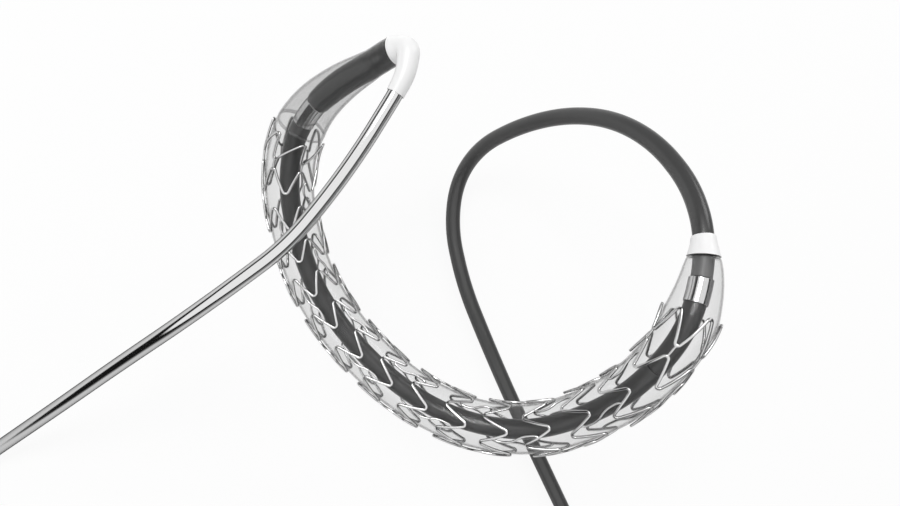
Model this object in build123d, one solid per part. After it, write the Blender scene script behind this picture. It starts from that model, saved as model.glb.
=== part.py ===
from build123d import *
from math import acos, asin, ceil, cos, hypot, pi, radians, sin, tan
import os

# A balloon-expandable vascular stent on the inflated balloon of its delivery catheter, with a guidewire
# through it. Millimetres, +Z up. The line lies on the plane z = 0 on its shaft and on the wire's end.

# Route of the whole line, from the shaft's cut end to the guidewire's end.
# The points are the corners of straight runs, and each corner is rounded by an arc that is tangent to both.
ROUTE_POINTS = [
    (23.0, -19.6, 0.6),
    (19.3, -12.3, 0.6),
    (15.9, -5.6, 0.6),
    (12.9, 0.6, 0.6),
    (10.2, 6.8, 0.6),
    (9.1, 11.6, 0.6),
    (9.2, 15.4, 1.6),
    (10.1, 17.7, 4.5),
    (12.0, 18.6, 8.1),
    (14.0, 18.6, 11.6),
    (15.6, 17.4, 15.1),
    (16.8, 15.1, 18.0),
    (17.4, 12.0, 20.2),
    (17.1, 9.1, 21.6),
    (16.8, 6.3, 21.7),
    (15.9, 3.6, 21.4),
    (15.1, 1.6, 20.2),
    (13.9, -0.5, 18.2),
    (12.2, -2.1, 15.7),
    (9.9, -3.1, 13.4),
    (7.2, -2.9, 11.5),
    (4.4, -1.8, 10.2),
    (1.6, 0.2, 9.3),
    (-0.9, 2.8, 8.6),
    (-3.0, 5.8, 8.2),
    (-4.3, 9.1, 8.2),
    (-5.1, 12.3, 9.2),
    (-5.0, 15.1, 10.8),
    (-4.1, 16.8, 12.7),
    (-2.7, 17.8, 14.7),
    (-1.3, 18.4, 16.3),
    (-0.3, 18.9, 17.5),
    (0.4, 18.9, 18.5),
    (0.2, 17.3, 18.5),
    (-0.3, 16.2, 18.2),
    (-2.0, 13.1, 17.2),
    (-3.7, 10.5, 16.2),
    (-5.6, 8.0, 15.0),
    (-8.2, 5.9, 13.7),
    (-11.1, 3.7, 11.5),
    (-14.5, 1.3, 8.3),
    (-17.9, -1.2, 5.2),
    (-23.3, -5.1, 0.19),
]

# Guidewire and the tubes around it, from the inside out
wire_radius = 0.445
wire_clearance = 0.025
inner_tube_wall = 0.05
inflation_gap = 0.02
shaft_wall = 0.06
slip_gap = 0.01
seat_sleeve_wall = 0.10
proximal_band_wall = 0.17
distal_band_wall = 0.13
distal_sleeve_wall = 0.25
distal_sleeve_end_wall = 0.17

inner_tube_bore = wire_radius + wire_clearance
inner_tube_radius = inner_tube_bore + inner_tube_wall
sleeve_bore = inner_tube_radius + slip_gap
shaft_bore = inner_tube_radius + inflation_gap
shaft_radius = shaft_bore + shaft_wall
distal_sleeve_radius = sleeve_bore + distal_sleeve_wall

# Stent
stent_radius = 1.75
strut_thickness = 0.14
strut_width = 0.17
ring_height = 1.78
ring_pitch = 2.694
body_rings = 14
crowns = 6
crown_radius = 0.27
end_link_length = 0.52
link_share = 0.2
connector_width = 0.13
connector_side = 0.21
connector_corner = 0.15
connector_slope = 0.32
stent_turn = radians(174)
near_twist = radians(-18)
near_twist_run = 6.0
far_twist = radians(24)
ring_spread = 1.4

stent_bore = stent_radius - strut_thickness
stent_length = 3 * ring_height + 2 * end_link_length + (body_rings - 1) * ring_pitch

# Balloon
balloon_clearance = 0.06
balloon_wall = 0.05
neck_wall = 0.04
neck_length = 1.10
shoulder_rise = 0.12
proximal_cone_length = 3.45
proximal_cone_steps = 5
proximal_cone_power = 0.75
distal_cone_length = 6.50
distal_cone_steps = 9
distal_cone_power = 1.05
distal_neck_length = 1.40
distal_neck_wall = 0.03

balloon_radius = stent_bore - balloon_clearance
neck_bore = shaft_radius + slip_gap
neck_radius = neck_bore + neck_wall
distal_neck_bore = distal_sleeve_radius + slip_gap
distal_neck_radius = distal_neck_bore + distal_neck_wall

# Collar over the proximal neck
collar_wall = 0.04
collar_swell = 0.05
collar_flare = 0.24
collar_length = 1.17

collar_bore = neck_radius + slip_gap
shoulder_radius = collar_bore + collar_wall + collar_flare

# Soft tip
tip_exit_wall = 0.05
tip_length = 3.70
tip_full_share = 0.05
tip_steps = 8
tip_power = 0.45

tip_exit_radius = inner_tube_bore + tip_exit_wall

# Lengths along the route, from the shaft's cut end towards the tip
end_gap = 0.04
shaft_length = 67.62
shaft_past_neck = 1.24
stent_before_body = 0.13
proximal_band_length = 1.47
short_sleeve_length = 4.40
long_sleeve_past_stent = 0.55
distal_band_length = 1.62
distal_sleeve_length = 6.10
distal_sleeve_taper = 1.80
distal_sleeve_steps = 3
distal_sleeve_power = 0.6

neck_end = shaft_length - shaft_past_neck
collar_start = neck_end - collar_length
body_start = neck_end + proximal_cone_length
stent_start = body_start - stent_before_body
stent_end = stent_start + stent_length
proximal_band_start = shaft_length + end_gap
short_sleeve_start = proximal_band_start + proximal_band_length + end_gap
long_sleeve_start = short_sleeve_start + short_sleeve_length + end_gap
long_sleeve_length = stent_end + long_sleeve_past_stent - long_sleeve_start
distal_band_start = long_sleeve_start + long_sleeve_length + end_gap
distal_sleeve_start = distal_band_start + distal_band_length + end_gap
distal_sleeve_end = distal_sleeve_start + distal_sleeve_length
balloon_end = distal_sleeve_end
distal_cone_end = balloon_end - distal_neck_length
body_end = distal_cone_end - distal_cone_length
tip_start = distal_sleeve_end + end_gap
tip_end = tip_start + tip_length

# Longest steps between the circles of a skin, on the wide body, on slim sleeves and on the tight bend
body_step = 0.8
sleeve_step = 0.5
bend_step = 0.3

# Shortest straight run or arc that is kept, and how far short of a joint between two runs a point is taken
shortest_run = 1e-5
joint_margin = 1e-9


def turned(vector, axis, angle):
    """The vector turned round a unit axis."""
    along = axis * axis.dot(vector)
    return along + (vector - along) * cos(angle) + axis.cross(vector) * sin(angle)


class Route:
    """Straight runs joined by tangent arcs, with one side direction carried along them without twist."""

    def __init__(self, corners):
        points = [Vector(*corner) for corner in corners]
        self.pieces = []
        self.length = 0.0
        place = points[0]
        heading = (points[1] - points[0]).normalized()
        side = heading.cross(Vector(0, 0, 1)).normalized()
        for before, corner, after in zip(points, points[1:], points[2:]):
            heading = (corner - before).normalized()
            leaving = (after - corner).normalized()
            reach = min((corner - before).length, (after - corner).length) / 2
            arc_start = corner - heading * reach
            self.add_run(place, arc_start, heading, side)
            turn = acos(heading.dot(leaving))
            axis = heading.cross(leaving).normalized()
            radius = reach / tan(turn / 2)
            self.pieces.append((self.length, radius * turn, arc_start, heading, side, axis, radius))
            self.length += radius * turn
            side = turned(side, axis, turn)
            place = corner + leaving * reach
        heading = (points[-1] - points[-2]).normalized()
        self.add_run(place, points[-1], heading, side)

    def add_run(self, start, end, heading, side):
        run = (end - start).length
        if run > shortest_run:
            self.pieces.append((self.length, run, start, heading, side, None, 0.0))
            self.length += run

    def at(self, distance):
        """Point, heading and side direction at a distance from the start."""
        piece = self.pieces[0]
        for candidate in self.pieces:
            if candidate[0] > distance:
                break
            piece = candidate
        begin, run, start, heading, side, axis, radius = piece
        travelled = distance - begin
        if axis is None:
            return start + heading * travelled, heading, side
        angle = travelled / radius
        centre = start + axis.cross(heading) * radius
        point = centre + turned(start - centre, axis, angle)
        return point, turned(heading, axis, angle), turned(side, axis, angle)

    def plane(self, distance):
        """The plane across the route, with its normal along the heading."""
        point, heading, side = self.at(distance)
        return Plane(origin=point, x_dir=side, z_dir=heading)

    def around(self, distance, angle, radius):
        """A point at an angle and radius round the route."""
        point, heading, side = self.at(distance)
        return point + side * (radius * cos(angle)) + heading.cross(side) * (radius * sin(angle))

    def wire(self, start, end):
        """The route between two distances, as lines and arcs."""
        edges = []
        for begin, run, _, _, _, axis, _ in self.pieces:
            first = max(start, begin)
            last = min(end, begin + run)
            if last - first < shortest_run:
                continue
            first_point = self.at(first)[0]
            last_point = self.at(last - joint_margin)[0]
            if axis is None:
                edges.append(Edge.make_line(first_point, last_point))
            else:
                middle = self.at((first + last) / 2)[0]
                edges.append(Edge.make_three_point_arc(first_point, middle, last_point))
        return Wire(edges)


route = Route(ROUTE_POINTS)


def tube(start, end, radius, bore=0.0):
    """A tube of one section along the route."""
    section = Circle(radius)
    if bore:
        section -= Circle(bore)
    return sweep(route.plane(start) * section, path=route.wire(start, end))


def skin(stations):
    """A solid through circles across the route, from pairs of distance and radius."""
    circles = [Wire.make_circle(radius, route.plane(distance)) for distance, radius in stations]
    return Solid.make_loft(circles, ruled=True)


def steps(start, end, longest):
    """Even distances from start to end, no further apart than longest."""
    count = ceil((end - start) / longest)
    return [start + (end - start) * i / count for i in range(count + 1)]


def eased(start, end, first, last, count, power):
    """Distances and radii between two radii, bending towards the first one with a power over 1."""
    shares = [i / count for i in range(1, count)]
    return [(start + (end - start) * share, first + (last - first) * share ** power) for share in shares]


def outer_shaft():
    return tube(0, shaft_length, shaft_radius, shaft_bore)


def inner_tube():
    return tube(0, distal_sleeve_end, inner_tube_radius, inner_tube_bore)


def guidewire():
    body = tube(0, route.length - wire_radius, wire_radius)
    return body + route.plane(route.length - wire_radius) * Sphere(wire_radius)


def sleeve(start, length, wall):
    """A plain band or sleeve slipped over the inner tube."""
    return tube(start, start + length, sleeve_bore + wall, sleeve_bore)


def distal_sleeve():
    """The thick sleeve under the balloon's distal neck, slimmer at the marker band."""
    end_radius = sleeve_bore + distal_sleeve_end_wall
    full_from = distal_sleeve_start + distal_sleeve_taper
    swelling = (end_radius, distal_sleeve_radius, distal_sleeve_steps, distal_sleeve_power)
    outside = [(distal_sleeve_start, end_radius)]
    outside += eased(distal_sleeve_start, full_from, *swelling)
    outside += [(place, distal_sleeve_radius) for place in steps(full_from, distal_sleeve_end, sleeve_step)]
    return skin(outside) - tube(distal_sleeve_start - end_gap, distal_sleeve_end + end_gap, sleeve_bore)


def bond_collar():
    """The flared collar that holds the balloon's neck on the shaft."""
    outside = [
        (collar_start, collar_bore + collar_wall),
        (collar_start + collar_length / 3, collar_bore + collar_wall + collar_swell),
        (neck_end, shoulder_radius),
    ]
    return skin(outside) - tube(collar_start - end_gap, neck_end + end_gap, collar_bore)


def tip():
    """The soft tip, bent over and slimmed down to the guidewire."""
    full_end = tip_start + tip_full_share * tip_length
    outside = [(place, distal_neck_radius) for place in steps(tip_start, full_end, bend_step)]
    outside += eased(full_end, tip_end, distal_neck_radius, tip_exit_radius, tip_steps, tip_power)
    outside += [(tip_end, tip_exit_radius)]
    return skin(outside) - tube(tip_start - end_gap, tip_end + end_gap, inner_tube_bore)


def balloon_outline():
    """Distance, outer radius and inner radius of the balloon's wall."""
    rise_end = neck_end + shoulder_rise
    outline = [
        (neck_end - neck_length, neck_radius, neck_bore),
        (neck_end, neck_radius, neck_bore),
        (rise_end, shoulder_radius, shoulder_radius - balloon_wall),
    ]
    opening = (shoulder_radius, balloon_radius, proximal_cone_steps, proximal_cone_power)
    for place, radius in eased(rise_end, body_start, *opening):
        outline.append((place, radius, radius - balloon_wall))
    for place in steps(body_start, body_end, body_step):
        outline.append((place, balloon_radius, balloon_radius - balloon_wall))
    closing = (balloon_radius, distal_neck_radius, distal_cone_steps, distal_cone_power)
    for place, radius in eased(body_end, distal_cone_end, *closing):
        outline.append((place, radius, radius - balloon_wall))
    for place in steps(distal_cone_end, balloon_end, sleeve_step):
        outline.append((place, distal_neck_radius, distal_neck_bore))
    return outline


def balloon():
    outline = balloon_outline()
    outside = skin([(place, outer) for place, outer, _ in outline])
    inside = skin([(place, inner) for place, _, inner in outline])
    return outside - inside


def stent_place(along, across, radius):
    """A point of the unrolled stent on the route. Its rings stand wider apart nearer the shaft, and both ends twist."""
    distance = stent_start + along + ring_spread * sin(pi * along / stent_length) ** 2
    near = max(0.0, 1 - along / near_twist_run)
    far = max(0.0, 1 - (stent_length - along) / ring_height)
    angle = stent_turn + near_twist * near + far_twist * far + across / stent_radius
    return route.around(distance, angle, radius)


class Strip:
    """Ribbons of metal drawn on the unrolled stent and wrapped round the route, as one closed shell.

    A section is four corners: outer left, outer right, inner right, inner left, seen along the ribbon.
    """

    def __init__(self):
        self.corners = []
        self.triangles = []

    def corner(self, flat, radius):
        self.corners.append(stent_place(*flat, radius))
        return len(self.corners) - 1

    def section(self, left, right):
        return (
            self.corner(left, stent_radius),
            self.corner(right, stent_radius),
            self.corner(right, stent_bore),
            self.corner(left, stent_bore),
        )

    def wall(self, a, b, c, d):
        self.triangles += [(a, c, b), (a, d, c)]

    def span(self, first, last, left_open=False, right_open=False):
        """The walls between two sections. An open side is left out, for a branch to join there."""
        self.wall(first[0], first[1], last[1], last[0])
        self.wall(first[3], last[3], last[2], first[2])
        if not left_open:
            self.wall(first[0], last[0], last[3], first[3])
        if not right_open:
            self.wall(first[1], first[2], last[2], last[1])

    def solid(self):
        faces = []
        for triangle in self.triangles:
            outline = [self.corners[number] for number in triangle]
            faces.append(Face(Wire.make_polygon(outline, close=True)))
        return Solid(Shell(faces))


# Shape of a ring on the unrolled stent: struts that lean, joined by round crowns
half_period = pi * stent_radius / crowns
crown_middle = crown_radius - strut_width / 2
strut_rise = ring_height - 2 * crown_radius
strut_reach = hypot(strut_rise, half_period)
strut_lean = asin(half_period / strut_reach) - asin(2 * crown_middle / strut_reach)
crown_turn = pi / 2 - strut_lean

# Sections of a crown, as shares of its half turn, plain and with room for a link at its top
plain_shares = (-1.0, -0.5, 0.0, 0.5, 1.0)
linked_shares = (-1.0, -0.5, -link_share, link_share, 0.5, 1.0)


def crown_sections(centre, towards, shares):
    """Left and right points round a crown that bulges along the stent (towards 1) or back (towards -1)."""
    sections = []
    for share in shares:
        angle = share * crown_turn
        outside, inside = [
            (centre[0] + towards * radius * cos(angle), centre[1] + radius * sin(angle))
            for radius in (crown_radius, crown_radius - strut_width)
        ]
        sections.append((inside, outside) if towards > 0 else (outside, inside))
    return sections


def between(first, last, share):
    """The section at a share of the way between two sections."""
    return tuple(
        tuple(a + (b - a) * share for a, b in zip(start, end)) for start, end in zip(first, last)
    )


def ring(strip, start, distal_parity, branches, linked):
    """One zigzag ring from a distance start. It returns its openings by kind and crown number.

    Crowns are numbered round the ring, and those of distal_parity bulge along the stent. Branches gives
    the side, left or right, on which the strut after a crown is open. Linked crowns are open at the top.
    """
    crown_list = []
    for number in range(2 * crowns):
        towards = 1 if number % 2 == distal_parity else -1
        centre_x = start + (ring_height - crown_radius if towards > 0 else crown_radius)
        shares = linked_shares if number in linked else plain_shares
        crown_list.append(crown_sections((centre_x, number * half_period), towards, shares))
    sections = []
    opened = {}
    for number, crown in enumerate(crown_list):
        towards = 1 if number % 2 == distal_parity else -1
        if number in linked:
            opened[len(sections) + 2] = ("top", number, "right" if towards > 0 else "left")
        sections += crown
        if number in branches:
            following = crown_list[(number + 1) % len(crown_list)][0]
            if number + 1 == len(crown_list):
                following = tuple((x, y + 2 * crowns * half_period) for x, y in following)
            strut_length = hypot(following[0][0] - crown[-1][0][0], following[0][1] - crown[-1][0][1])
            half_share = connector_width / strut_length / 2
            opened[len(sections)] = ("strut", number, branches[number])
            sections.append(between(crown[-1], following, 0.5 - half_share))
            sections.append(between(crown[-1], following, 0.5 + half_share))
    built = [strip.section(left, right) for left, right in sections]
    openings = {}
    for index, first in enumerate(built):
        last = built[(index + 1) % len(built)]
        kind, number, side = opened.get(index, (None, None, None))
        strip.span(first, last, side == "left", side == "right")
        if side == "left":
            openings[kind, number] = (last[0], first[0], first[3], last[3])
        elif side == "right":
            openings[kind, number] = (last[1], first[1], first[2], last[2])
    return openings


def ribbon(middles, width):
    """Left and right points along a line of middle points, mitred at its corners."""
    pairs = []
    for before, middle, after in zip(middles, middles[1:], middles[2:]):
        lefts = []
        for start, end in ((before, middle), (middle, after)):
            run = hypot(end[0] - start[0], end[1] - start[1])
            lefts.append((-(end[1] - start[1]) / run, (end[0] - start[0]) / run))
        sum_x = lefts[0][0] + lefts[1][0]
        sum_y = lefts[0][1] + lefts[1][1]
        mitre = width / (sum_x ** 2 + sum_y ** 2)
        left = (middle[0] + sum_x * mitre, middle[1] + sum_y * mitre)
        right = (middle[0] - sum_x * mitre, middle[1] - sum_y * mitre)
        pairs.append((left, right))
    return pairs


def connector(strip, start, number, first, last):
    """An S-shaped connector from the middle of a strut to the same strut of the next ring."""
    root = (start + ring_height / 2, (number + 0.5) * half_period)
    lean = (sin(strut_lean), cos(strut_lean))
    elbow = (root[0] + connector_side * lean[0], root[1] + connector_side * lean[1])
    shallow = connector_side - connector_corner
    half = [
        root,
        (root[0] + shallow * lean[0], root[1] + shallow * lean[1]),
        (elbow[0] + connector_corner, elbow[1]),
        (root[0] + ring_pitch / 2 - connector_slope, elbow[1]),
    ]
    turned_half = [(2 * root[0] + ring_pitch - x, 2 * root[1] - y) for x, y in reversed(half)]
    sections = [strip.section(left, right) for left, right in ribbon(half + turned_half, connector_width)]
    chain = [first] + sections + [last]
    for near, far in zip(chain, chain[1:]):
        strip.span(near, far)


def stent_strip():
    """Zigzag rings joined by S-shaped connectors, with a mirrored ring linked on at each end."""
    strip = Strip()
    even = range(0, 2 * crowns, 2)
    odd = range(1, 2 * crowns, 2)
    ring_step = ring_height + end_link_length
    first_body = ring_step
    end_openings = ring(strip, 0, 0, {}, even)
    outgoing = []
    for index in range(body_rings):
        start = first_body + index * ring_pitch
        branches = {}
        incoming = list(outgoing)
        outgoing = list(odd)[index % 2::2] if index < body_rings - 1 else []
        branches.update({number: "left" for number in incoming})
        branches.update({number: "right" for number in outgoing})
        linked = even if index == 0 else odd if index == body_rings - 1 else ()
        openings = ring(strip, start, 1, branches, linked)
        if index == 0:
            for number in even:
                strip.span(end_openings["top", number], openings["top", number])
        for number in incoming:
            connector(strip, start - ring_pitch, number, previous["strut", number], openings["strut", number])
        previous = openings
    last_start = first_body + (body_rings - 1) * ring_pitch + ring_step
    end_openings = ring(strip, last_start, 0, {}, odd)
    for number in odd:
        strip.span(previous["top", number], end_openings["top", number])
    return strip


def stent():
    return stent_strip().solid()


PARTS = {
    "stent": stent,
    "balloon": balloon,
    "outer_shaft": outer_shaft,
    "inner_tube": inner_tube,
    "guidewire": guidewire,
    "bond_collar": bond_collar,
    "marker_band_proximal": lambda: sleeve(proximal_band_start, proximal_band_length, proximal_band_wall),
    "marker_band_distal": lambda: sleeve(distal_band_start, distal_band_length, distal_band_wall),
    "seat_sleeve_short": lambda: sleeve(short_sleeve_start, short_sleeve_length, seat_sleeve_wall),
    "seat_sleeve_long": lambda: sleeve(long_sleeve_start, long_sleeve_length, seat_sleeve_wall),
    "distal_sleeve": distal_sleeve,
    "tip": tip,
}

os.makedirs("parts", exist_ok=True)
for name, build in PARTS.items():
    export_step(build(), f"parts/{name}.step")
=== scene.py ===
from math import acos, asin, ceil, cos, hypot, pi, radians, sin, tan

import bpy
from mathutils import Matrix, Vector


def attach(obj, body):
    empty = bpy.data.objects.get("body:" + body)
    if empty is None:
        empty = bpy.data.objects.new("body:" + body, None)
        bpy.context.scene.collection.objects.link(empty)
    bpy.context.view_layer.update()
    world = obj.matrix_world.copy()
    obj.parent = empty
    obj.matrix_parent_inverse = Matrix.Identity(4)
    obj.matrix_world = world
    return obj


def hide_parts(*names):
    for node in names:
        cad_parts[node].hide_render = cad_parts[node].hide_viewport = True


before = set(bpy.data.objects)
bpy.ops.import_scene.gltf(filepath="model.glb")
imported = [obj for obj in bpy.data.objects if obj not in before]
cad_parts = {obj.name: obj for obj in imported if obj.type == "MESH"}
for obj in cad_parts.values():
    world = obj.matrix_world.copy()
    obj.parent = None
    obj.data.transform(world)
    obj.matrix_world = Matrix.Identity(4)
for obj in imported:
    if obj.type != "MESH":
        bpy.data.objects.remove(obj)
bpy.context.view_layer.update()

# A balloon-expandable stent on the inflated balloon of its catheter, with a guidewire through it.
# The object's values are in millimetres, and MM turns them into metres.
MM = 0.001

# Route of the line, from the shaft's cut end to the guidewire's end, as in the CAD source
ROUTE_POINTS = [
    (23.0, -19.6, 0.6),
    (19.3, -12.3, 0.6),
    (15.9, -5.6, 0.6),
    (12.9, 0.6, 0.6),
    (10.2, 6.8, 0.6),
    (9.1, 11.6, 0.6),
    (9.2, 15.4, 1.6),
    (10.1, 17.7, 4.5),
    (12.0, 18.6, 8.1),
    (14.0, 18.6, 11.6),
    (15.6, 17.4, 15.1),
    (16.8, 15.1, 18.0),
    (17.4, 12.0, 20.2),
    (17.1, 9.1, 21.6),
    (16.8, 6.3, 21.7),
    (15.9, 3.6, 21.4),
    (15.1, 1.6, 20.2),
    (13.9, -0.5, 18.2),
    (12.2, -2.1, 15.7),
    (9.9, -3.1, 13.4),
    (7.2, -2.9, 11.5),
    (4.4, -1.8, 10.2),
    (1.6, 0.2, 9.3),
    (-0.9, 2.8, 8.6),
    (-3.0, 5.8, 8.2),
    (-4.3, 9.1, 8.2),
    (-5.1, 12.3, 9.2),
    (-5.0, 15.1, 10.8),
    (-4.1, 16.8, 12.7),
    (-2.7, 17.8, 14.7),
    (-1.3, 18.4, 16.3),
    (-0.3, 18.9, 17.5),
    (0.4, 18.9, 18.5),
    (0.2, 17.3, 18.5),
    (-0.3, 16.2, 18.2),
    (-2.0, 13.1, 17.2),
    (-3.7, 10.5, 16.2),
    (-5.6, 8.0, 15.0),
    (-8.2, 5.9, 13.7),
    (-11.1, 3.7, 11.5),
    (-14.5, 1.3, 8.3),
    (-17.9, -1.2, 5.2),
    (-23.3, -5.1, 0.19),
]

# Guidewire and the tubes around it
WIRE_RADIUS = 0.445
INNER_BORE = 0.47
INNER_RADIUS = 0.52
SLEEVE_BORE = 0.53
SHAFT_BORE = 0.54
SHAFT_RADIUS = 0.60
SEAT_RADIUS = 0.63
PROXIMAL_BAND_RADIUS = 0.70
DISTAL_BAND_RADIUS = 0.66
DISTAL_SLEEVE_RADIUS = 0.78
DISTAL_SLEEVE_END_RADIUS = 0.70
DISTAL_SLEEVE_TAPER = 1.8
DISTAL_SLEEVE_POWER = 0.6
TIP_EXIT_RADIUS = 0.52
TIP_FULL_SHARE = 0.05
TIP_POWER = 0.45

# Distances along the route
END_GAP = 0.04
SHAFT_END = 67.62
NECK_END = 66.38
COLLAR_LENGTH = 1.17
BAND_LENGTH = 1.47
SHORT_SLEEVE_LENGTH = 4.40
LONG_SLEEVE_PAST_STENT = 0.55
DISTAL_BAND_LENGTH = 1.62
DISTAL_SLEEVE_LENGTH = 6.10
TIP_LENGTH = 3.70

# Stent
STENT_START = 69.70
STENT_RADIUS = 1.75
STRUT_THICKNESS = 0.14
STRUT_WIDTH = 0.17
STRUT_EDGE = 0.045
RING_HEIGHT = 1.78
RING_PITCH = 2.694
BODY_RINGS = 14
CROWNS = 6
CROWN_RADIUS = 0.27
END_LINK = 0.52
CONNECTOR_WIDTH = 0.13
CONNECTOR_SIDE = 0.21
CONNECTOR_CORNER = 0.15
CONNECTOR_SLOPE = 0.32
STENT_TURN = radians(174)
NEAR_TWIST = radians(-18)
NEAR_TWIST_RUN = 6.0
FAR_TWIST = radians(24)
RING_SPREAD = 1.4

# Balloon
BALLOON_RADIUS = 1.55
BALLOON_WALL = 0.05
# Width of a greyer ring of film, painted shade where the body bends into the distal cone
CONE_RING_SHADE_WIDTH = 0.22
NECK_RADIUS = 0.65
NECK_BORE = 0.61
NECK_LENGTH = 1.10
SHOULDER_RADIUS = 0.94
SHOULDER_RISE = 0.12
PROXIMAL_CONE = 3.45
PROXIMAL_CONE_POWER = 0.75
DISTAL_CONE = 6.50
DISTAL_CONE_POWER = 1.05
DISTAL_NECK_LENGTH = 1.40
DISTAL_NECK_BORE = 0.79
DISTAL_NECK_RADIUS = 0.82

# Collar: it swells over its plain share and flares out from there to the balloon's shoulder
COLLAR_BORE = 0.66
COLLAR_WALL = 0.04
COLLAR_SWELL = 0.05
COLLAR_PLAIN_SHARE = 1 / 3
COLLAR_POWER = 1.2

# Small roundings at the ends of the tubes, the sleeve and the tip
EDGE = 0.02
INNER_EDGE = 0.01
SLEEVE_EDGE = 0.03
TIP_EDGE = 0.04

# The shaft's lighter end begins this far under the collar
LIGHT_END_OVERLAP = 0.05

# A change of finish is placed this far before the section that it begins at
SECTION_MARGIN = 0.001

band_start = SHAFT_END + END_GAP
short_start = band_start + BAND_LENGTH + END_GAP
long_start = short_start + SHORT_SLEEVE_LENGTH + END_GAP
stent_end = STENT_START + 3 * RING_HEIGHT + 2 * END_LINK + (BODY_RINGS - 1) * RING_PITCH
long_end = stent_end + LONG_SLEEVE_PAST_STENT
distal_band_start = long_end + END_GAP
distal_sleeve_start = distal_band_start + DISTAL_BAND_LENGTH + END_GAP
distal_sleeve_end = distal_sleeve_start + DISTAL_SLEEVE_LENGTH
tip_start = distal_sleeve_end + END_GAP
tip_end = tip_start + TIP_LENGTH
body_start = NECK_END + PROXIMAL_CONE
cone_end = distal_sleeve_end - DISTAL_NECK_LENGTH
body_end = cone_end - DISTAL_CONE

# Sides of a round section, greatest distance between sections and shortest straight run of the route
SIDES = 64
STEP = 0.25
SHORTEST_RUN = 0.00001


class Route:
    """Straight runs joined by tangent arcs, with one side direction carried along them without twist."""

    def __init__(self, corners):
        points = [Vector(corner) for corner in corners]
        self.pieces = []
        self.length = 0.0
        place = points[0]
        heading = (points[1] - points[0]).normalized()
        side = heading.cross(Vector((0, 0, 1))).normalized()
        for before, corner, after in zip(points, points[1:], points[2:]):
            heading = (corner - before).normalized()
            leaving = (after - corner).normalized()
            reach = min((corner - before).length, (after - corner).length) / 2
            arc_start = corner - heading * reach
            self.add(place, (arc_start - place).length, heading, side, None, 0.0)
            turn = acos(heading.dot(leaving))
            axis = heading.cross(leaving).normalized()
            radius = reach / tan(turn / 2)
            self.add(arc_start, radius * turn, heading, side, axis, radius)
            side = Matrix.Rotation(turn, 3, axis) @ side
            place = corner + leaving * reach
        heading = (points[-1] - points[-2]).normalized()
        self.add(place, (points[-1] - place).length, heading, side, None, 0.0)

    def add(self, start, run, heading, side, axis, radius):
        """Keeps a piece of the route, unless two arcs meet there and leave it no length."""
        if run > SHORTEST_RUN:
            self.pieces.append((self.length, start, heading, side, axis, radius))
            self.length += run

    def at(self, distance):
        """Point, heading and side direction at a distance from the start."""
        piece = self.pieces[0]
        for candidate in self.pieces:
            if candidate[0] > distance:
                break
            piece = candidate
        begin, start, heading, side, axis, radius = piece
        travelled = distance - begin
        if axis is None:
            return start + heading * travelled, heading, side
        turn = Matrix.Rotation(travelled / radius, 3, axis)
        centre = start + axis.cross(heading) * radius
        return centre + turn @ (start - centre), turn @ heading, turn @ side

    def around(self, distance, angle, radius):
        """A point at an angle and radius round the route."""
        point, heading, side = self.at(distance)
        return point + side * (radius * cos(angle)) + heading.cross(side) * (radius * sin(angle))

    def ring(self, distance, radius, sides):
        """Evenly spaced points round the route, or its own point where the radius is zero."""
        point, heading, side = self.at(distance)
        if radius == 0:
            return [point]
        other = heading.cross(side)
        angles = [2 * pi * i / sides for i in range(sides)]
        return [point + side * (radius * cos(angle)) + other * (radius * sin(angle)) for angle in angles]


route = Route(ROUTE_POINTS)


# Materials

def material(name, color, metallic=0.0, roughness=0.4, **extra):
    """A plain finish. What is extra names more of the shader's inputs."""
    made = bpy.data.materials.new(name)
    made.use_nodes = True
    shader = made.node_tree.nodes["Principled BSDF"]
    shader.inputs["Base Color"].default_value = (*color, 1)
    shader.inputs["Metallic"].default_value = metallic
    shader.inputs["Roughness"].default_value = roughness
    for key, value in extra.items():
        shader.inputs[key.replace("_", " ")].default_value = value
    return made


def grey(level):
    return (level, level, level)


def grey_ramp(nodes, stops):
    """A ramp with a grey level at each position."""
    ramp = nodes.new("ShaderNodeValToRGB")
    elements = ramp.color_ramp.elements
    elements.remove(elements[1])
    for number, (position, level) in enumerate(stops):
        element = elements.new(position) if number > 0 else elements[0]
        element.position = position
        element.color = (*grey(level), 1)
    return ramp


def film_material(name, face_on, oblique, edge):
    """Clear film with painted shade: a grey that is nearly see-through face on, and greyer and less clear
    towards its edges.
    """
    made = material(name, grey(0.16), roughness=0.05, Coat_Weight=1.0, Coat_Roughness=0.03)
    nodes, links = made.node_tree.nodes, made.node_tree.links
    facing = nodes.new("ShaderNodeLayerWeight")
    facing.inputs["Blend"].default_value = 0.5
    ramp = grey_ramp(nodes, ((0.0, face_on), (0.55, oblique), (1.0, edge)))
    links.new(facing.outputs["Facing"], ramp.inputs["Fac"])
    links.new(ramp.outputs["Color"], nodes["Principled BSDF"].inputs["Alpha"])
    return made


def polished(name, level, roughness, painted_edge_level):
    """Bright metal with painted shade on its edges: its reflections at grazing angles are toned down to
    the given level.
    """
    return material(name, grey(level), metallic=1.0, roughness=roughness, Specular_Tint=(*grey(painted_edge_level), 1))


# The last number of each metal darkens its grazing reflections, painted shade along the edges of struts,
# wire and bands.
stent_metal = polished("polished_stent", 0.64, roughness=0.14, painted_edge_level=0.05)
wire_metal = polished("polished_wire", 0.68, roughness=0.07, painted_edge_level=0.05)
band_metal = polished("polished_band", 0.72, roughness=0.06, painted_edge_level=0.2)
shaft_plastic = material("shaft_plastic", grey(0.055), roughness=0.28)
shaft_end_plastic = material("shaft_end_plastic", grey(0.17), metallic=0.3, roughness=0.5)
sleeve_plastic = material("sleeve_plastic", grey(0.04), roughness=0.3)
white_plastic = material("white_plastic", grey(0.90), roughness=0.32)
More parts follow.
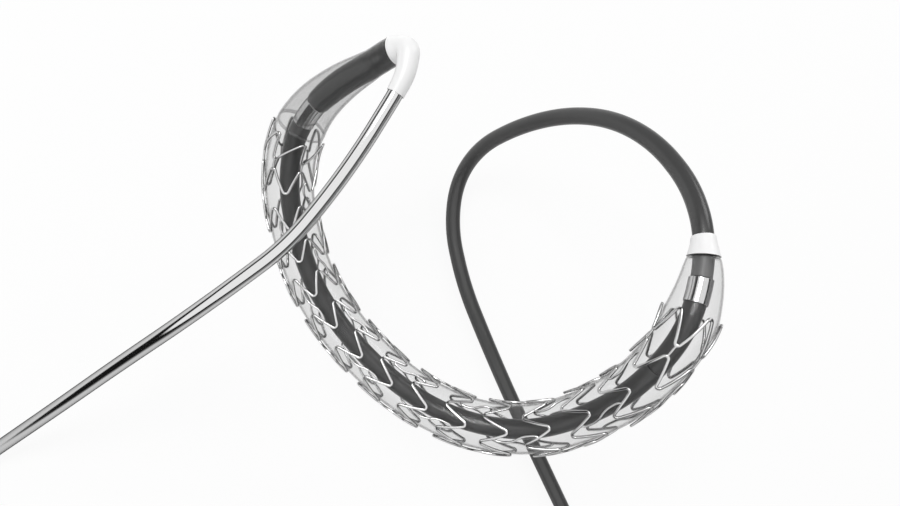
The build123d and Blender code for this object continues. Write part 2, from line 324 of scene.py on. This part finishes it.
# The films' grey is painted shade, strongest at their edges.
film = film_material("clear_film", face_on=0.06, oblique=0.10, edge=0.80)
# The distal cone's film carries a greyer painted shade all over.
cone_film = film_material("greyer_cone_film", face_on=0.13, oblique=0.19, edge=0.88)
cone_ring_shade_film = film_material("film_cone_ring_shade", face_on=0.30, oblique=0.45, edge=0.90)


# Meshes

def finish_mesh(name, vertices, faces, made_of, nodes, sharp=40):
    """A smooth piece that stands for the named nodes, with edges sharp past the angle in degrees."""
    mesh = bpy.data.meshes.new(name)
    mesh.from_pydata([tuple(point * MM) for point in vertices], [], faces)
    mesh.update()
    mesh.shade_smooth()
    mesh.set_sharp_from_angle(angle=radians(sharp))
    piece = bpy.data.objects.new(name, mesh)
    bpy.context.scene.collection.objects.link(piece)
    for one in made_of:
        mesh.materials.append(one)
    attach(piece, "root")
    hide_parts(*nodes)
    return piece


def spread(start, end, step=STEP):
    """Even places from start to end, no further apart than the step."""
    count = max(1, ceil((end - start) / step))
    return [start + (end - start) * i / count for i in range(count + 1)]


def turned_piece(name, profile, made_of, nodes, sides=SIDES, closed=True, changes=()):
    """A piece with round sections along the route, from a profile of distances and radii.

    A closed profile joins its end to its start. At each distance in changes the next material begins.
    """
    rings = [route.ring(distance, radius, sides) for distance, radius in profile]
    starts = [0]
    for ring in rings:
        starts.append(starts[-1] + len(ring))
    faces = []
    owners = []
    count = len(profile)
    for k in range(count if closed else count - 1):
        following = (k + 1) % count
        a, b = starts[k], starts[following]
        face_start = min(profile[k][0], profile[following][0])
        owner = sum(face_start > change for change in changes)
        for i in range(sides):
            j = (i + 1) % sides
            if len(rings[k]) == 1:
                faces.append((b + j, b + i, a))
            elif len(rings[following]) == 1:
                faces.append((b, a + i, a + j))
            else:
                faces.append((a + j, b + j, b + i, a + i))
            owners.append(owner)
    piece = finish_mesh(name, [point for ring in rings for point in ring], faces, made_of, nodes)
    for polygon, owner in zip(piece.data.polygons, owners):
        polygon.material_index = owner


def back_along(start, end, radius, step=STEP):
    """The bore of a profile, from its end back to its start."""
    return [(place, radius) for place in reversed(spread(start, end, step))]


def tube_profile(start, end, radius, bore, edge=EDGE, step=STEP):
    """Outside from start to end and the bore back, with small rounded edges outside."""
    outside = [(start, radius - edge), (start + edge, radius)]
    outside += [(place, radius) for place in spread(start + edge, end - edge, step)[1:]]
    outside += [(end, radius - edge)]
    return outside + back_along(start, end, bore, step)


def flare(start, end, first_radius, last_radius, power, steps):
    """Places after start up to end, where the radius changes with a power of the share of the way."""
    shares = [i / steps for i in range(1, steps + 1)]
    return [
        (start + (end - start) * share, first_radius + (last_radius - first_radius) * share ** power)
        for share in shares
    ]


def outer_shaft():
    profile = tube_profile(0, SHAFT_END, SHAFT_RADIUS, SHAFT_BORE)
    finishes = [shaft_plastic, shaft_end_plastic]
    turned_piece("shaft", profile, finishes, ["outer_shaft"], changes=[NECK_END - LIGHT_END_OVERLAP])


def inner_tube():
    profile = tube_profile(0, distal_sleeve_end, INNER_RADIUS, INNER_BORE, edge=INNER_EDGE, step=0.4)
    turned_piece("inner_lumen", profile, [sleeve_plastic], ["inner_tube"], sides=40)


def guidewire():
    profile = [(0, 0), (0, WIRE_RADIUS - EDGE), (EDGE, WIRE_RADIUS)]
    end = route.length - WIRE_RADIUS
    profile += [(place, WIRE_RADIUS) for place in spread(EDGE, end)[1:]]
    end_steps = 12
    for i in range(1, end_steps):
        angle = radians(90) * i / end_steps
        profile.append((end + WIRE_RADIUS * sin(angle), WIRE_RADIUS * cos(angle)))
    profile.append((route.length, 0))
    turned_piece("wire", profile, [wire_metal], ["guidewire"], sides=56, closed=False)


def plain_tube(name, start, length, radius, made_of, node):
    turned_piece(name, tube_profile(start, start + length, radius, SLEEVE_BORE), [made_of], [node])


def bands_and_sleeves():
    plain_tube("band_near_shaft", band_start, BAND_LENGTH, PROXIMAL_BAND_RADIUS, band_metal,
               "marker_band_proximal")
    plain_tube("band_near_tip", distal_band_start, DISTAL_BAND_LENGTH, DISTAL_BAND_RADIUS, band_metal,
               "marker_band_distal")
    plain_tube("short_sleeve", short_start, SHORT_SLEEVE_LENGTH, SEAT_RADIUS, sleeve_plastic,
               "seat_sleeve_short")
    plain_tube("long_sleeve", long_start, long_end - long_start, SEAT_RADIUS, sleeve_plastic,
               "seat_sleeve_long")


def distal_sleeve():
    """A sleeve that thickens to the balloon's neck over its taper."""
    start, end = distal_sleeve_start, distal_sleeve_end
    thin, thick = DISTAL_SLEEVE_END_RADIUS, DISTAL_SLEEVE_RADIUS
    full = start + DISTAL_SLEEVE_TAPER
    profile = [(start, thin - SLEEVE_EDGE)]
    profile += flare(start, full, thin, thick, DISTAL_SLEEVE_POWER, steps=12)
    profile += [(place, thick) for place in spread(full, end)[1:]]
    profile += back_along(start, end, SLEEVE_BORE)
    turned_piece("neck_sleeve", profile, [sleeve_plastic], ["distal_sleeve"])


def bond_collar():
    """A white collar whose end face towards the balloon is painted dark as shade."""
    start = NECK_END - COLLAR_LENGTH
    plain_radius = COLLAR_BORE + COLLAR_WALL
    profile = [(start, plain_radius - EDGE)]
    steps = 12
    for i in range(1, steps + 1):
        share = i / steps
        swell = COLLAR_SWELL * min(1, share / COLLAR_PLAIN_SHARE)
        flared_share = max(0, (share - COLLAR_PLAIN_SHARE) / (1 - COLLAR_PLAIN_SHARE))
        flared = (SHOULDER_RADIUS - plain_radius - COLLAR_SWELL) * flared_share ** COLLAR_POWER
        profile.append((start + COLLAR_LENGTH * share, plain_radius + swell + flared))
    profile += back_along(start, NECK_END, COLLAR_BORE)
    # The end face towards the balloon takes the dark sleeve plastic as painted shade.
    finishes = [white_plastic, sleeve_plastic]
    turned_piece("collar", profile, finishes, ["bond_collar"], changes=[NECK_END - SECTION_MARGIN])


def soft_tip():
    """A tip that starts as wide as the balloon's neck and narrows to the wire in a rounded taper."""
    full = tip_start + TIP_FULL_SHARE * TIP_LENGTH
    profile = [(tip_start, DISTAL_NECK_RADIUS - TIP_EDGE), (tip_start + TIP_EDGE, DISTAL_NECK_RADIUS)]
    profile += [(place, DISTAL_NECK_RADIUS) for place in spread(tip_start + TIP_EDGE, full, step=0.1)[1:]]
    profile += flare(full, tip_end, DISTAL_NECK_RADIUS, TIP_EXIT_RADIUS, TIP_POWER, steps=24)
    profile += back_along(tip_start, tip_end, INNER_BORE, step=0.12)
    turned_piece("white_tip", profile, [white_plastic], ["tip"], sides=96)


def balloon_outline():
    """Places along the balloon, with the outer and inner radius of its film at each."""
    rise_end = NECK_END + SHOULDER_RISE
    body = spread(body_start, body_end - CONE_RING_SHADE_WIDTH)[1:] + [body_end]
    bulge = [(rise_end, SHOULDER_RADIUS)]
    bulge += flare(rise_end, body_start, SHOULDER_RADIUS, BALLOON_RADIUS, PROXIMAL_CONE_POWER, steps=20)
    bulge += [(place, BALLOON_RADIUS) for place in body]
    bulge += flare(body_end, cone_end, BALLOON_RADIUS, DISTAL_NECK_RADIUS, DISTAL_CONE_POWER, steps=30)
    outline = [(place, NECK_RADIUS, NECK_BORE) for place in spread(NECK_END - NECK_LENGTH, NECK_END)]
    outline += [(place, radius, radius - BALLOON_WALL) for place, radius in bulge]
    distal_neck = spread(cone_end, distal_sleeve_end)[1:]
    outline += [(place, DISTAL_NECK_RADIUS, DISTAL_NECK_BORE) for place in distal_neck]
    return outline


def balloon():
    outline = balloon_outline()
    profile = [(place, outer) for place, outer, _ in outline]
    profile += [(place, inner) for place, _, inner in reversed(outline)]
    # The greyer ring before the distal cone is painted shade along the bend.
    changes = [body_end - CONE_RING_SHADE_WIDTH - SECTION_MARGIN, body_end - SECTION_MARGIN]
    finishes = [film, cone_ring_shade_film, cone_film]
    turned_piece("balloon_film", profile, finishes, ["balloon"], sides=96, changes=changes)


# Stent

half_period = pi * STENT_RADIUS / CROWNS
crown_middle = CROWN_RADIUS - STRUT_WIDTH / 2
strut_rise = RING_HEIGHT - 2 * CROWN_RADIUS
strut_reach = hypot(strut_rise, half_period)
strut_lean = asin(half_period / strut_reach) - asin(2 * crown_middle / strut_reach)
crown_turn = pi / 2 - strut_lean
CROWN_STEPS = 12
STRUT_STEPS = 6


def ribbon_section(width):
    """Corners of a strut's section across and outwards, a rectangle with rounded edges."""
    corners = []
    for across, out, first in ((1, 1, 0), (-1, 1, 90), (-1, -1, 180), (1, -1, 270)):
        for i in range(3):
            angle = radians(first + 45 * i)
            corners.append((
                across * (width / 2 - STRUT_EDGE) + STRUT_EDGE * cos(angle),
                out * (STRUT_THICKNESS / 2 - STRUT_EDGE) + STRUT_EDGE * sin(angle),
            ))
    return corners


def stent_place(along, across, radius):
    """A point of the unrolled stent on the route.

    The rings stand wider apart nearer the shaft, and both ends twist.
    """
    length = stent_end - STENT_START
    distance = STENT_START + along + RING_SPREAD * sin(pi * along / length) ** 2
    near = max(0.0, 1 - along / NEAR_TWIST_RUN)
    far = max(0.0, 1 - (length - along) / RING_HEIGHT)
    angle = STENT_TURN + NEAR_TWIST * near + FAR_TWIST * far + across / STENT_RADIUS
    return route.around(distance, angle, radius)


class Ribbons:
    """Lines drawn on the unrolled stent, given a section and wrapped round the route."""

    def __init__(self):
        self.vertices = []
        self.faces = []

    def add(self, line, width, closed=False):
        section = ribbon_section(width)
        size = len(section)
        first = len(self.vertices)
        count = len(line)
        if closed:
            whole_turn = 2 * CROWNS * half_period
            before_line = (line[-1][0], line[-1][1] - whole_turn)
            after_line = (line[0][0], line[0][1] + whole_turn)
        else:
            before_line = line[0]
            after_line = line[-1]
        padded = [before_line, *line, after_line]
        for before, (x, y), after in zip(padded, line, padded[2:]):
            run = hypot(after[0] - before[0], after[1] - before[1])
            along = ((after[0] - before[0]) / run, (after[1] - before[1]) / run)
            for across, out in section:
                self.vertices.append(stent_place(
                    x - along[1] * across,
                    y + along[0] * across,
                    STENT_RADIUS - STRUT_THICKNESS / 2 + out,
                ))
        for k in range(count if closed else count - 1):
            a, b = first + k * size, first + (k + 1) % count * size
            for i in range(size):
                j = (i + 1) % size
                self.faces.append((a + i, b + i, b + j, a + j))
        if not closed:
            self.faces.append(tuple(first + i for i in range(size)))
            self.faces.append(tuple(first + (count - 1) * size + i for i in reversed(range(size))))


def between(a, b, share):
    """The point at a share of the way from a to b."""
    return a[0] + (b[0] - a[0]) * share, a[1] + (b[1] - a[1]) * share


def ring_line(start, distal_parity):
    """The middle of a zigzag ring, once round. Crowns of the given parity point towards the tip."""

    def crown_point(number, angle):
        points_distal = number % 2 == distal_parity
        towards = 1 if points_distal else -1
        centre = start + (RING_HEIGHT - CROWN_RADIUS if points_distal else CROWN_RADIUS)
        x = centre + towards * crown_middle * cos(angle)
        y = number * half_period + crown_middle * sin(angle)
        return x, y

    angles = [crown_turn * (2 * i / CROWN_STEPS - 1) for i in range(CROWN_STEPS + 1)]
    line = []
    for number in range(2 * CROWNS):
        line += [crown_point(number, angle) for angle in angles]
        strut = crown_point(number, crown_turn), crown_point(number + 1, -crown_turn)
        line += [between(*strut, i / STRUT_STEPS) for i in range(1, STRUT_STEPS)]
    return line


def smoothed(points, rounds=3):
    """The line through the points with its corners cut round."""
    for _ in range(rounds):
        line = [points[0]]
        for a, b in zip(points, points[1:]):
            line += [between(a, b, 0.25), between(a, b, 0.75)]
        line.append(points[-1])
        points = line
    return points


def connector_line(start, number):
    """An S from the middle of a strut to the same strut of the next ring."""
    root = (start + RING_HEIGHT / 2, (number + 0.5) * half_period)
    lean = (sin(strut_lean), cos(strut_lean))
    elbow = (root[0] + CONNECTOR_SIDE * lean[0], root[1] + CONNECTOR_SIDE * lean[1])
    shallow = CONNECTOR_SIDE - CONNECTOR_CORNER
    half = [
        root,
        (root[0] + shallow * lean[0], root[1] + shallow * lean[1]),
        (elbow[0] + CONNECTOR_CORNER, elbow[1]),
        (root[0] + RING_PITCH / 2 - CONNECTOR_SLOPE, elbow[1]),
    ]
    turned_half = [(2 * root[0] + RING_PITCH - x, 2 * root[1] - y) for x, y in reversed(half)]
    return smoothed(half + turned_half)


def stent():
    """Two end rings on straight links, and between them the body's rings on S-shaped connectors."""
    ribbons = Ribbons()
    ring_step = RING_HEIGHT + END_LINK
    even = range(0, 2 * CROWNS, 2)
    odd = range(1, 2 * CROWNS, 2)
    ribbons.add(ring_line(0, 0), STRUT_WIDTH, closed=True)
    for index in range(BODY_RINGS):
        start = ring_step + index * RING_PITCH
        ribbons.add(ring_line(start, 1), STRUT_WIDTH, closed=True)
        if index < BODY_RINGS - 1:
            for number in list(odd)[index % 2::2]:
                ribbons.add(connector_line(start, number), CONNECTOR_WIDTH)
    last = ring_step + (BODY_RINGS - 1) * RING_PITCH + ring_step
    ribbons.add(ring_line(last, 0), STRUT_WIDTH, closed=True)
    inset = STRUT_WIDTH / 2
    for numbers, begin in ((even, RING_HEIGHT), (odd, last - END_LINK)):
        for number in numbers:
            y = number * half_period
            line = [(begin - inset, y), (begin + END_LINK / 2, y), (begin + END_LINK + inset, y)]
            ribbons.add(line, CONNECTOR_WIDTH)
    finish_mesh("stent_struts", ribbons.vertices, ribbons.faces, [stent_metal], ["stent"], sharp=50)


outer_shaft()
inner_tube()
guidewire()
bands_and_sleeves()
distal_sleeve()
bond_collar()
soft_tip()
balloon()
stent()


# Floor, world, lamps and camera, placed in metres

FLOOR_REACH = 1.5
FLOOR_GREY = 0.9
FLOOR_GLOW = 0.9
PLAIN_LIGHT = 0.55

# What shiny surfaces mirror: grey levels from the side opposite the direction, at 0, to its own side, at 1
PANEL_DIRECTION = (-0.35, -0.15, 0.92)
PANEL_LEVELS = (
    (0.0, 0.50),
    (0.25, 0.10),
    (0.35, 0.20),
    (0.55, 0.28),
    (0.68, 0.20),
    (0.70, 0.01),
    (0.79, 0.01),
    (0.81, 1.15),
    (1.0, 1.15),
)

LAMP_TARGET = (0, 0, 0.01)

SENSOR_WIDTH = 36
FOCAL_LENGTH = 26
CAMERA_PLACE = (-0.00883, 0.00378, 0.05164)
CAMERA_RIGHT = (0.94412, 0, 0.32959)
CAMERA_UP = (-0.03487, 0.99439, 0.09988)


def either(nodes, links, first, second):
    """One where either of two outputs is one."""
    made = nodes.new("ShaderNodeMath")
    made.operation = "MAXIMUM"
    links.new(first, made.inputs[0])
    links.new(second, made.inputs[1])
    return made.outputs[0]


def mixed(nodes, links, share, first, second):
    """The first shader where the share is zero and the second where it is one."""
    made = nodes.new("ShaderNodeMixShader")
    links.new(share, made.inputs[0])
    links.new(first, made.inputs[1])
    links.new(second, made.inputs[2])
    return made.outputs[0]


def floor():
    """A pale floor that takes the object's shadow and otherwise looks as white as the world behind it."""
    corners = [(x * FLOOR_REACH, y * FLOOR_REACH, 0) for x, y in ((-1, -1), (1, -1), (1, 1), (-1, 1))]
    mesh = bpy.data.meshes.new("floor")
    mesh.from_pydata(corners, [], [(0, 1, 2, 3)])
    plane = bpy.data.objects.new("floor", mesh)
    bpy.context.scene.collection.objects.link(plane)
    made = bpy.data.materials.new("floor")
    made.use_nodes = True
    nodes, links = made.node_tree.nodes, made.node_tree.links
    nodes.clear()
    out = nodes.new("ShaderNodeOutputMaterial")
    diffuse = nodes.new("ShaderNodeBsdfDiffuse")
    diffuse.inputs["Color"].default_value = (*grey(FLOOR_GREY), 1)
    glow = nodes.new("ShaderNodeEmission")
    glow.inputs["Color"].default_value = (1, 1, 1, 1)
    glow.inputs["Strength"].default_value = 1.0
    path = nodes.new("ShaderNodeLightPath")
    seen = either(nodes, links, path.outputs["Is Camera Ray"], path.outputs["Is Transmission Ray"])
    keep = nodes.new("ShaderNodeMath")
    keep.operation = "MULTIPLY"
    keep.inputs[1].default_value = FLOOR_GLOW
    links.new(seen, keep.inputs[0])
    surface = mixed(nodes, links, keep.outputs[0], diffuse.outputs[0], glow.outputs[0])
    links.new(surface, out.inputs["Surface"])
    mesh.materials.append(made)


def background(nodes, strength):
    made = nodes.new("ShaderNodeBackground")
    made.inputs["Color"].default_value = (1, 1, 1, 1)
    made.inputs["Strength"].default_value = strength
    return made


def studio_world():
    """White behind the object, plain light on it, and soft bright and dark panels for what is shiny."""
    world = bpy.data.worlds.new("studio")
    bpy.context.scene.world = world
    world.use_nodes = True
    nodes, links = world.node_tree.nodes, world.node_tree.links
    nodes.clear()
    out = nodes.new("ShaderNodeOutputWorld")
    plain = background(nodes, PLAIN_LIGHT)
    white = background(nodes, 1.0)
    panels = background(nodes, 1.0)
    place = nodes.new("ShaderNodeTexCoord")
    turn = nodes.new("ShaderNodeVectorMath")
    turn.operation = "DOT_PRODUCT"
    turn.inputs[1].default_value = Vector(PANEL_DIRECTION).normalized()
    links.new(place.outputs["Generated"], turn.inputs[0])
    shift = nodes.new("ShaderNodeMapRange")
    shift.inputs["From Min"].default_value = -1
    shift.inputs["From Max"].default_value = 1
    links.new(turn.outputs["Value"], shift.inputs["Value"])
    ramp = grey_ramp(nodes, PANEL_LEVELS)
    links.new(shift.outputs["Result"], ramp.inputs["Fac"])
    links.new(ramp.outputs["Color"], panels.inputs["Color"])
    path = nodes.new("ShaderNodeLightPath")
    lit = mixed(nodes, links, path.outputs["Is Glossy Ray"], plain.outputs[0], panels.outputs[0])
    seen = either(nodes, links, path.outputs["Is Camera Ray"], path.outputs["Is Transmission Ray"])
    links.new(mixed(nodes, links, seen, lit, white.outputs[0]), out.inputs["Surface"])


def lamp(name, place, size, power):
    """A square lamp turned to the object."""
    light = bpy.data.lights.new(name, "AREA")
    light.size = size
    light.energy = power
    lamp_object = bpy.data.objects.new(name, light)
    lamp_object.location = place
    lamp_object.rotation_euler = (Vector(LAMP_TARGET) - Vector(place)).to_track_quat("-Z", "Y").to_euler()
    bpy.context.scene.collection.objects.link(lamp_object)


def camera():
    data = bpy.data.cameras.new("camera")
    data.sensor_width = SENSOR_WIDTH
    data.lens = FOCAL_LENGTH
    data.clip_start = 0.001
    data.clip_end = 10
    made = bpy.data.objects.new("camera", data)
    right = Vector(CAMERA_RIGHT)
    up = Vector(CAMERA_UP)
    axes = Matrix((right, up, right.cross(up))).transposed()
    made.matrix_world = Matrix.Translation(CAMERA_PLACE) @ axes.to_4x4()
    bpy.context.scene.collection.objects.link(made)
    bpy.context.scene.camera = made


floor()
studio_world()
lamp("key", (-0.12, 0.10, 0.25), size=0.12, power=0.35)
lamp("fill", (0.13, 0.16, 0.14), size=0.10, power=0.10)
camera()

bpy.context.scene.view_settings.view_transform = "Standard"
